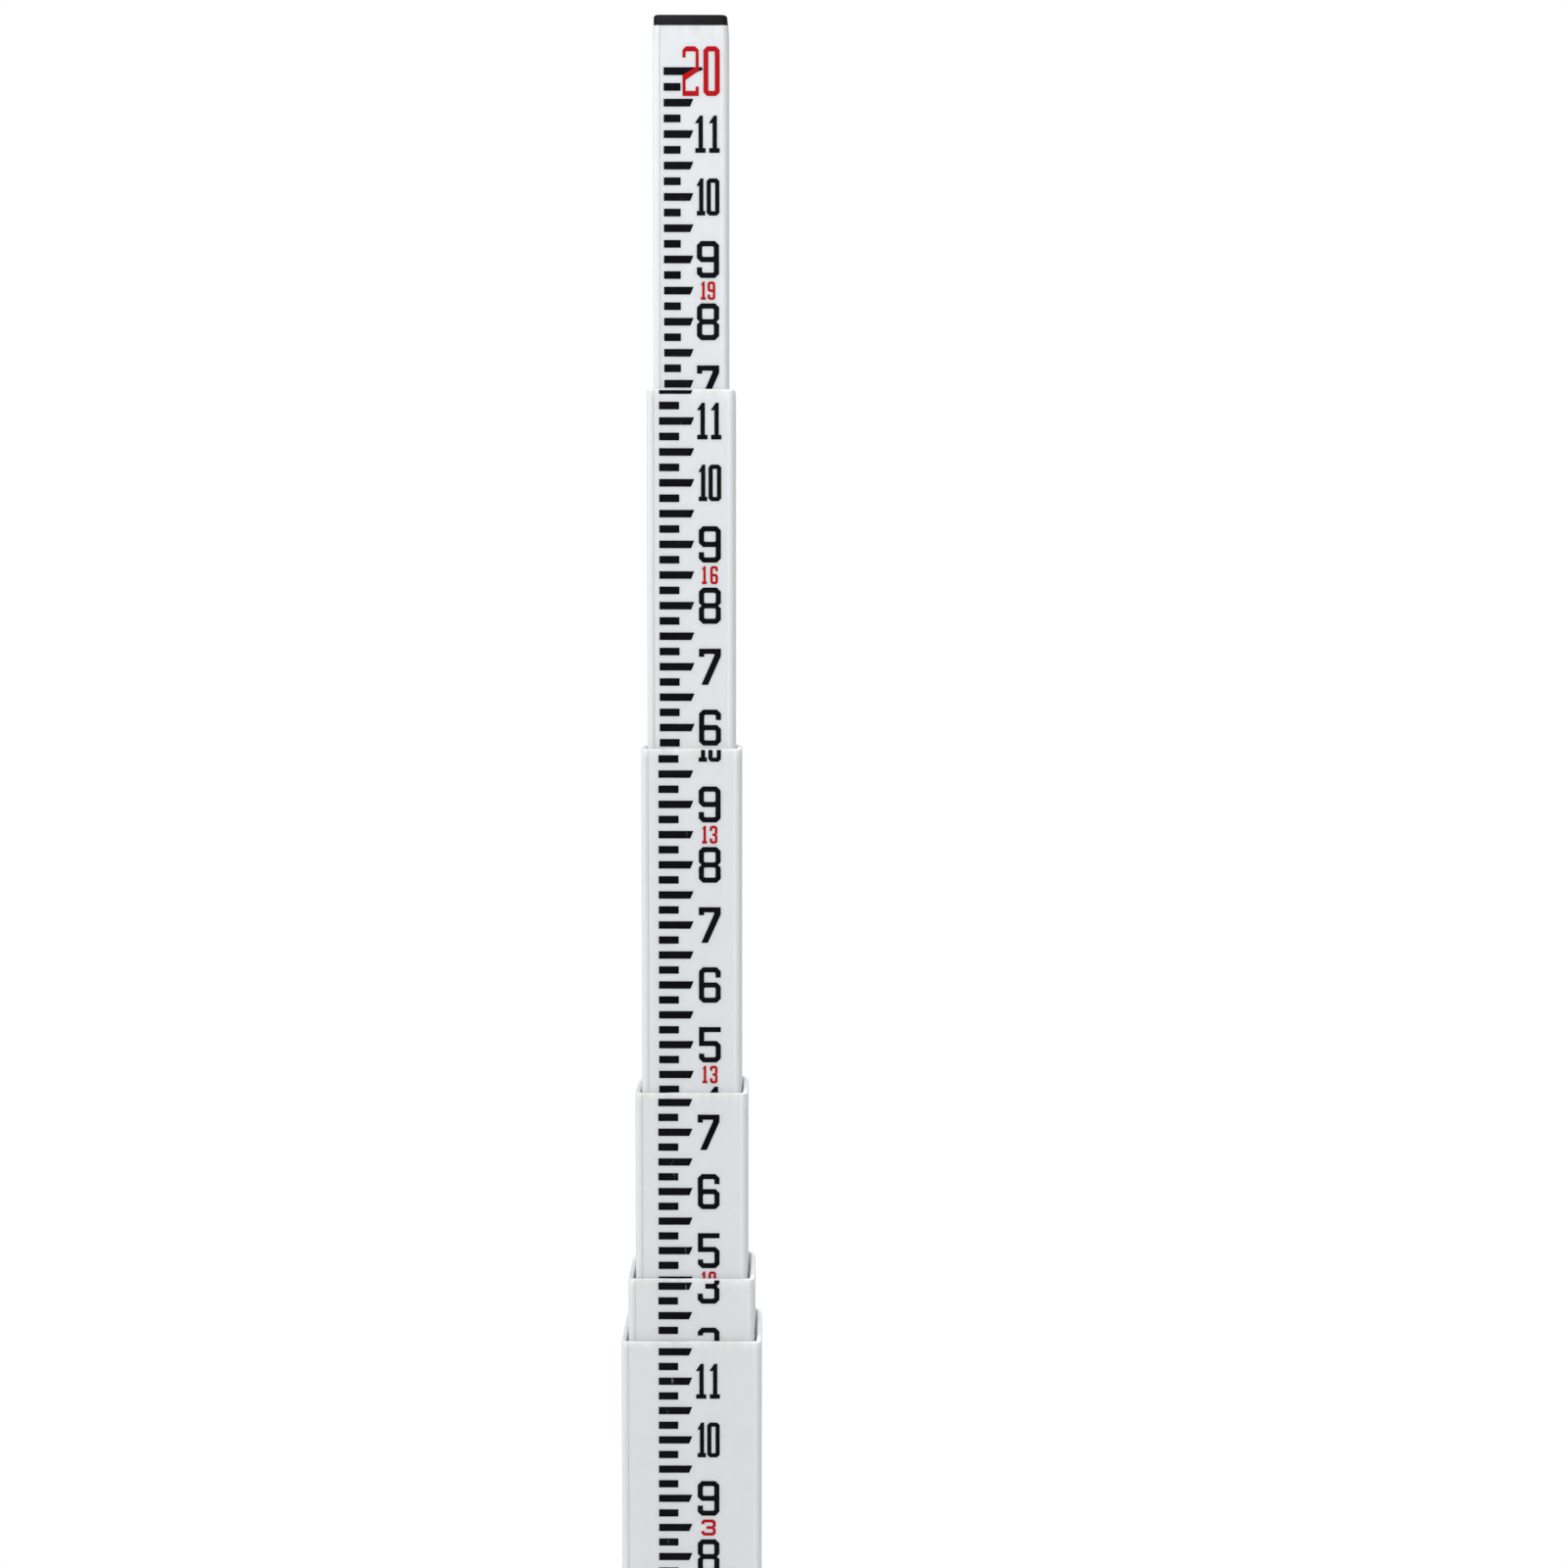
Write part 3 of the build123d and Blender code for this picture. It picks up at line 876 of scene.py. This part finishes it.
def front_scale(section):
    rim, left = RIM[section], NUMERAL_LEFTS[section] * MM
    offset = rim - TOP_READING[section]
    reading_low = FIRST_READING if section == 1 else TOP_READING[section - 1] - PRINT_BELOW_DRAWN
    reading_high = min(TOP_READING[section] + INCH / 2, ROD_READING + BAR_HEIGHT)
    spans = [(reading_low + offset - BAR_HEIGHT / 2, rim - PRINT_EDGE)]
    black = Print(section, False, INK_RISE, spans)
    red = Print(section, False, OVERPRINT_RISE, spans)
    bars = {kind: bar_shape(section, kind) for kind in ("short", "long", "pointer")}
    quarter = ceil(reading_low / QUARTER)
    while quarter * QUARTER < reading_high:
        z = quarter * QUARTER + offset
        feet, rest = divmod(quarter, 4 * INCHES_PER_FOOT)
        kind = "short" if quarter % 2 else "long"
        text = str(feet)
        if rest == 0:
            kind = "pointer"
            widths, total = row_of_digits(text, FOOT_NUMBER, FOOT_GAP)
            if z < rim:
                front_number(red, text, left + FOOT_RIGHT - total, z, FOOT_NUMBER, widths, FOOT_GAP)
        elif rest % 4 == 0:
            inch_numeral(black, str(rest // 4), left, z)
        black.stamp(bars[kind], 0.0, z)
        if rest / 4 in SMALL_READINGS and feet > 0:
            gap, font = SMALL_GAPS[section] * MM, SMALL_SINGLE if len(text) == 1 else SMALL_FOOT
            widths, total = row_of_digits(text, font, gap)
            front_number(red, text, left + (INCH_WIDTH - total) / 2, z, font, widths, gap)
        quarter += 1
    black.finish("front_scale", BLACK_INK, "black_ink")
    red.finish("front_foot_numbers", RED_INK, "red_ink")


# ---- Back scale: reads the height of the rod's top, downwards, on every sliding section

EIGHTH = INCH / 8
CAP_THICKNESS = cad_high.z - RIM[TOP]
BACK_SCALE_SETTING = -0.07 * INCH
STRIPED_SECTIONS = (3, 5)
STRIPE_LEFT, STRIPE_RIGHT = -12.0 * MM, 11.6 * MM
RED_BLOCK_READING = 52 * INCH
RED_BLOCK_BELOW_TICK = 0.9 * MM
TICK_STARTS = {2: -11.3, 3: -10.2, 4: -10.35, 5: -10.5, 6: -9.6}
TICK_HALF = 0.44 * MM
TICK_GAIN = 0.45
TICK_CORNER = 0.22 * MM
INK_GAIN = 0.14 * MM
TICK_LENGTHS = {8: 6.9 * MM, 4: 5.4 * MM, 2: 4.65 * MM, 1: 3.1 * MM}
FEET_LEFT, INCHES_LEFT = -2.0 * MM, 4.2 * MM
FEET_DIGIT = font_mm(h=9.0, s=0.85, c=0.55)
INCH_DIGIT = font_mm(h=6.6, s=0.66, c=0.50)
LETTER_STROKE = 0.82 * MM
LETTER_GAP = 0.12
FEET_WIDTH, INCHES_WIDTH = 4.4 * MM, 3.2 * MM
PAIR_SHARES = (0.32, 0.64, 0.13)
UNITS_DROP = 10.6 * MM
FEET_UNIT, INCH_UNIT = (4.6 * MM, 3.5 * MM), (3.5 * MM, 3.2 * MM)


def back_reading(section):
    """What the back scale would read at a section's rim."""
    height = RIM[1] + sum(CLOSED_STEP.values()) + CAP_THICKNESS + BACK_SCALE_SETTING
    for above in range(section + 1, TOP + 1):
        height += TOP_READING[above] - TOP_READING[above - 1] - CLOSED_STEP[above]
    return height - CLOSED_STEP[section]


def back_digits(inks, text, left, base, font, width):
    """A one- or two-digit number; a pair is set wider than a single digit."""
    if len(text) == 1:
        widths, gap = [width], 0.0
    else:
        first, second, gap = PAIR_SHARES
        narrow = text[1] == "1"
        widths = [first * width, (first if narrow else second) * width]
        gap *= width * (2.0 if narrow else 1.0)
    for char, w in zip(text, widths):
        for layer in inks:
            stroke = font["s"] + layer.gain
            if char != "1":
                stroke = min(stroke, 0.34 * w)
            shape = character(char, w, font["h"], stroke, stroke, min(font["c"], 0.3 * w), False)
            layer.stamp(shape, left, base)
        left += w + gap


def back_letters(inks, text, left, base, height, width):
    narrow, gap = LETTER_STROKE if "I" in text else 0.45 * width, LETTER_GAP * width
    for char in text:
        w = narrow if char in "FTI" else width - narrow - gap
        for layer in inks:
            stroke = LETTER_STROKE + layer.gain / 2
            layer.stamp(character(char, w, height, stroke, stroke, 0.0, False), left, base)
        left += w + gap


def tick_shape(length, gain):
    half = TICK_HALF + TICK_GAIN * gain
    return Shape([cut_corners(0, -half, length, half, TICK_CORNER)])


def stripe(section, low, high):
    """The red stripe on a striped section, open where the lock window is."""
    red = Print(section, True, INK_RISE, [(low, high)])
    loops = [[(STRIPE_LEFT, low), (STRIPE_RIGHT, low), (STRIPE_RIGHT, high), (STRIPE_LEFT, high)]]
    if section in STRIPED_SECTIONS:
        z = window_height(section)
        loops.append([(x, z + rise) for x, rise in window_loop(WINDOW_EDGE + 2 * HAIR)][::-1])
    red.solid(loops, triangles(loops))
    red.finish("back_stripe", RED_INK, "red_ink")


def back_layers(section, low, high, spans):
    """The inks of a section's back scale, each with its name, material and slot."""
    def red(spans):
        return Print(section, True, INK_RISE, spans, INK_GAIN), "back_scale", RED_INK, "red_ink"

    def white(name, spans):
        return Print(section, True, OVERPRINT_RISE, spans, -INK_GAIN), name, WHITE_PRINT, "fibreglass"

    if section in STRIPED_SECTIONS:
        stripe(section, low, high)
        return [white("back_scale", spans)]
    if section != TOP:
        return [red(spans)]
    block_end = RIM[TOP] - (RED_BLOCK_READING - back_reading(TOP)) - TICK_HALF - RED_BLOCK_BELOW_TICK
    stripe(section, block_end, high)
    return [white("back_block_scale", [(block_end, high)]), red([(low, block_end)])]


def back_scale(section):
    rim, start = RIM[section], back_reading(section)
    drawn = TOP_READING[section] - TOP_READING[section - 1]
    low, high = rim - drawn - PRINT_BELOW_DRAWN, rim - PRINT_EDGE
    window, gap, spans = None, WINDOW_HALF_HEIGHT + WINDOW_EDGE, [(low, high)]
    if section != TOP:
        window = window_height(section)
        spans = [(low, window - gap), (window + gap, high)]
    layers = back_layers(section, low, high, spans)
    inks = [layer[0] for layer in layers]
    tick_left = TICK_STARTS[section] * MM
    short_of_window = -WINDOW_HALF_WIDTH - WINDOW_EDGE - tick_left
    first = start - INCH if section == TOP else start
    eighth = ceil(first / EIGHTH)
    while rim - (eighth * EIGHTH - start) > low:
        z = rim - (eighth * EIGHTH - start)
        step = next(n for n in (8, 4, 2, 1) if eighth % n == 0)
        beside_window = window is not None and abs(z - window) < gap + TICK_HALF
        for layer in inks:
            if beside_window:
                layer.stamp(tick_shape(short_of_window, layer.gain), tick_left, z, [(low, high)])
            else:
                layer.stamp(tick_shape(TICK_LENGTHS[step], layer.gain), tick_left, z)
        if step == 8:
            feet, inches = divmod(eighth // 8, INCHES_PER_FOOT)
            base = z - FEET_DIGIT["h"] / 2
            back_digits(inks, str(feet), FEET_LEFT, base, FEET_DIGIT, FEET_WIDTH)
            if inches:
                back_digits(inks, str(inches), INCHES_LEFT, base, INCH_DIGIT, INCHES_WIDTH)
                back_letters(inks, "FT", FEET_LEFT, z - UNITS_DROP, *FEET_UNIT)
                back_letters(inks, "IN", INCHES_LEFT, z - UNITS_DROP, *INCH_UNIT)
            else:
                back_letters(inks, "FT", INCHES_LEFT, base, *FEET_UNIT)
        eighth += 1
    for layer, *names in layers:
        layer.finish(*names)


# ---- Cap, shoe, rivets and springs

CAP_CORNER = 1.2 * MM
CAP_CORNER_STEPS = 8
CAP_SET_IN = 0.45 * MM
CAP_PLUG_DEPTH = 14.0 * MM
CAP_PLUG_WALL = 2.2 * MM
SOLE_MARGIN = 0.6 * MM
SOLE_THICKNESS = 5.0 * MM
SHOE_WALL = 6.0 * MM
SHOE_BEVEL = 0.6 * MM
SHOE_RIVET_Y = 12.0 * MM
LEAST_FRONT_RADIUS, LEAST_BACK_RADIUS = 0.4 * MM, 0.6 * MM

# Profiles in mm with wear. The cap's side with its parting line, as (inset, height above the rim)
CAP_SIDE = (
    (0.25, 0.01, 0.2), (0.0, 0.25, 0.4), (0.0, 1.25, 0.0), (0.06, 1.33, 0.0), (0.06, 1.45, 0.0),
    (0.0, 1.53, 0.0),
)
# The shallow dish in the cap's top, as (inset, depth)
CAP_DISH = ((2.1, 0.0, 0.3), (2.5, 0.12, 0.1), (3.0, 0.15, 0.1))
# The sole's hollow, bevels and side, as (inset, height)
SOLE_SIDE = (
    (8.0, 0.5, 0.1), (7.5, 0.0, 0.6), (0.85, 0.0, 0.9), (0.45, 0.2, 1.0), (0.12, 0.6, 0.9), (0.0, 1.0, 0.6),
    (0.0, 4.5, 0.3), (0.15, 4.86, 0.8), (0.5, 5.0, 0.5),
)


def ringed_solid(section, rings):
    """Stacks outlines with a tube's corners, given as (inset, height, wear), into a closed solid."""
    build = Builder()
    loops = []
    for inset, z, wear in rings:
        front = max(FRONT_RADIUS - inset, LEAST_FRONT_RADIUS)
        back = max(BACK_RADIUS - inset, LEAST_BACK_RADIUS)
        half_x, half_y = WIDTH[section] / 2 - inset, DEPTH[section] / 2 - inset
        outline = rounded_rectangle(half_x, half_y, (front, back, back, front), ARC_STEPS)
        loops.append(build.add([(x, y, z) for x, y in outline], wear))
    for lower, upper in zip(loops, loops[1:]):
        build.strip(lower, upper)
    build.cap(loops[0], up=False)
    build.cap(loops[-1], up=True)
    return build


def top_cap():
    """Moulded cap: soft upper corners, a parting line, a shallow dished top and its plug."""
    rim, top, plug = RIM[TOP], cad_high.z, WALL + FIT_GAP
    rings = [(plug + CAP_PLUG_WALL, z, 0.0) for z in (rim, rim - CAP_PLUG_DEPTH)]
    rings += [(plug, z, 0.0) for z in (rim - CAP_PLUG_DEPTH, rim + HAIR)]
    rings += [(CAP_SET_IN + inset * MM, rim + rise * MM, wear) for inset, rise, wear in CAP_SIDE]
    corner = quarter_round(CAP_CORNER, CAP_CORNER_STEPS)
    rings += [(CAP_SET_IN + inset, top - drop, 0.6) for inset, drop in corner]
    rings += [(inset * MM, top - depth * MM, wear) for inset, depth, wear in CAP_DISH]
    build = ringed_solid(TOP, rings)
    build.finish("moulded_cap", CAP_PLASTIC, body_name(TOP), "cap_plastic", ["top_cap"])


def foot_shoe():
    """Cast shoe: a sole with bevelled edges and a turned-in plug inside the base tube."""
    low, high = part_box("base_shoe")
    plug, sole_top = WALL + FIT_GAP, low.z + SOLE_THICKNESS
    rings = [(inset * MM - SOLE_MARGIN, low.z + rise * MM, wear) for inset, rise, wear in SOLE_SIDE]
    rings += [(plug, z, 0.0) for z in (sole_top, high.z - SHOE_BEVEL)]
    rings += [(plug + SHOE_BEVEL, high.z, 0.0)]
    rings += [(plug + SHOE_WALL, z, 0.0) for z in (high.z, sole_top)]
    ringed_solid(1, rings).finish("cast_shoe", SHOE_METAL, "base", "shoe_metal", ["base_shoe"])


RIVETS_ABOUT_BUTTON = (-14.0 * MM, 12.4 * MM)
RIVET_ABOVE_TUBE_END = 8.0 * MM
# A rivet's side from the middle of its head to its end, as (radius, height above the tube) in mm
RIVET_PROFILE = [
    (0.0, 0.0), (0.8, 0.01), (1.15, 0.09), (1.7, 0.10), (2.15, 0.08), (2.45, 0.02), (2.55, -0.06),
    (2.6, -0.3), (1.6, -1.2), (1.6, -6.0), (0.0, -6.0),
]
RIVET_SIDES = 32
RIVET_RUBBED_RADIUS = 2.3


def rivets(name, places, body, node):
    """Flush rivets with slightly crowned heads, at (side, x, y, z) places on the tube's sides."""
    build = Builder()
    for side, x, y, z in places:
        loops = []
        for radius, out in RIVET_PROFILE:
            sides = RIVET_SIDES if radius else 1
            turns = [side * 2 * pi * i / sides for i in range(sides)]
            reach = side * (x + out * MM)
            ring = [(reach, y + radius * MM * cos(a), z + radius * MM * sin(a)) for a in turns]
            loops.append(build.add(ring, 0.8 if radius < RIVET_RUBBED_RADIUS else 0.1))
        for outer, inner in zip(loops, loops[1:]):
            if len(outer) == 1:
                build.fan(outer[0], inner)
            elif len(inner) == 1:
                build.fan(inner[0], outer[::-1])
            else:
                build.strip(inner, outer)
    build.finish(name, RIVET_METAL, body, "rivet_metal", [node])


def all_rivets():
    low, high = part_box("base_shoe_rivets")
    middle = (low.z + high.z) / 2
    places = [(side, WIDTH[1] / 2, y, middle) for side in (-1, 1) for y in (-SHOE_RIVET_Y, SHOE_RIVET_Y)]
    rivets("shoe_rivets", places, "base", "base_shoe_rivets")
    for section in SLIDING:
        heights = [button_height(section) + rise for rise in RIVETS_ABOUT_BUTTON]
        if section == 2:
            heights.append(TUBE_END[section] + RIVET_ABOVE_TUBE_END)
        places = [(side, WIDTH[section] / 2, 0.0, z) for side in (-1, 1) for z in heights]
        rivets(f"block_rivets_{section}", places, body_name(section), f"section_{section}_block_rivets")


SPRING_STEPS = 28
SPRING_THICKNESS = 0.4 * MM
SPRING_FOOT = 1.0 * MM
SPRING_NICK = 0.08 * MM


def bow(floor, rise, middle, half, share):
    """A point on a circular bow over a floor, from its lower end to its upper end."""
    radius = (half**2 + rise**2) / (2 * rise)
    reach = asin(half / radius)
    angle = reach * (2 * share - 1)
    return floor + rise - radius * (1 - cos(angle)), middle + radius * sin(angle)


def leaf_spring(section):
    """Bowed leaf between the lock block and the button."""
    build = Builder()
    node = f"section_{section}_button_spring"
    low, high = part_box(node)
    floor, rise, middle = low.y, high.y - low.y, (low.z + high.z) / 2
    half, edge = (high.z - low.z) / 2, high.x
    loops = []
    for share in (i / SPRING_STEPS for i in range(SPRING_STEPS + 1)):
        y_out, z_out = bow(floor, rise, middle, half, share)
        y_in, z_in = bow(floor, rise - SPRING_THICKNESS, middle, half - SPRING_FOOT, share)
        right = [(edge - SPRING_NICK, y_out, z_out), (edge, y_out - SPRING_NICK, z_out), (edge, y_in, z_in)]
        left = [(-x, y, z) for x, y, z in reversed(right)]
        loops.append(build.add(left + right, 0.2))
    for lower, upper in zip(loops, loops[1:]):
        build.strip(upper, lower)
    build.cap(loops[0], up=True)
    build.cap(loops[-1], up=False)
    piece = build.finish(f"leaf_spring_{section}", SPRING_STEEL, None, "spring_steel", [node])
    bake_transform(piece)


# ---- Making the object

for section in SECTIONS:
    tube(section)
    front_scale(section)
for section in SLIDING:
    back_scale(section)
    leaf_spring(section)
top_cap()
foot_shoe()
all_rivets()
for section in SLIDING:
    repaint(f"section_{section}_lock_block", NYLON)
    repaint(f"section_{section}_lock_button", ACETAL)

# ---- Floor, backdrop, lights and camera

FLOOR_RADIUS = 2.4
FLOOR_FADE = (0.9, 0.97 * FLOOR_RADIUS)
BACKDROP_RADIUS = 45.0
CAMERA_PLACE = (0.03872, -1.0609, 1.5315)
CAMERA_PITCH = radians(90 - 4.671)
CAMERA_ROLL = radians(-0.084)
CAMERA_LENS = 57.55
COOL_WHITE = (0.95, 0.98, 1.0)
SUN_SPREAD = radians(25)


def stage_object(name, material, make, **settings):
    """An object beside the rod, made by one of bmesh's operators."""
    shape = bmesh.new()
    make(shape, **settings)
    mesh = bpy.data.meshes.new(name)
    shape.to_mesh(mesh)
    mesh.materials.append(material)
    made = add_object(name, mesh)
    return made


def floor():
    """Pale matt floor that fades out into the backdrop."""
    n = Nodes("pale_floor")
    length = n.add("ShaderNodeVectorMath", (n.place,), operation="LENGTH").outputs["Value"]
    n.set(base_color=(0.86, 0.86, 0.855), roughness=0.85, alpha=n.ramp(length, *FLOOR_FADE, 1.0, 0.0))
    disc = {"cap_ends": True, "segments": 96, "radius": FLOOR_RADIUS}
    stage_object("floor", n.material, bmesh.ops.create_circle, **disc)


def backdrop():
    """White surround that only the camera sees, so that the light on the rod stays as set."""
    n = Nodes("white_backdrop")
    n.set(base_color=(0, 0, 0), emission_color=(1, 1, 1), emission_strength=1.0, roughness=1.0)
    sphere = {"u_segments": 32, "v_segments": 16, "radius": BACKDROP_RADIUS}
    made = stage_object("backdrop", n.material, bmesh.ops.create_uvsphere, **sphere)
    for ray in ("diffuse", "glossy", "transmission", "volume_scatter", "shadow"):
        setattr(made, f"visible_{ray}", False)


def light(name, kind, towards, power, colour):
    """A light that shines along a direction."""
    lamp = bpy.data.lights.new(name, kind)
    lamp.energy = power
    lamp.color = colour
    made = add_object(name, lamp)
    made.rotation_euler = Vector(towards).to_track_quat("-Z", "Y").to_euler()
    return made


def sun(name, place, power, colour):
    made = light(name, "SUN", -Vector(place), power, colour)
    made.data.angle = SUN_SPREAD


def soft_box(name, place, target, size, power, colour):
    made = light(name, "AREA", Vector(target) - Vector(place), power, colour)
    made.data.shape = "DISK"
    made.data.size = size
    made.location = place
    made.visible_camera = False


floor()
backdrop()

world = bpy.data.worlds.new("studio")
world.use_nodes = True
world.node_tree.nodes["Background"].inputs["Color"].default_value = (1.0, 0.99, 0.965, 1)
world.node_tree.nodes["Background"].inputs["Strength"].default_value = 0.57
bpy.context.scene.world = world

sun("key_sun", place=(-0.55, -1.0, 0.95), power=0.76, colour=COOL_WHITE)
sun("back_sun", place=(0.35, 1.0, 0.95), power=1.90, colour=(0.96, 0.98, 1.0))
soft_box(
    "top_light", place=(-0.55, -1.0, 2.35), target=(0.0, 0.0, 1.75), size=0.8, power=10.3, colour=COOL_WHITE
)

camera = add_object("camera", bpy.data.cameras.new("camera"))
camera.data.lens = CAMERA_LENS
camera.data.sensor_width = 36.0
camera.data.clip_end = 200.0
camera.location = CAMERA_PLACE
camera.rotation_euler = (CAMERA_PITCH, CAMERA_ROLL, 0.0)
bpy.context.scene.camera = camera
bpy.context.scene.view_settings.view_transform = "Standard"
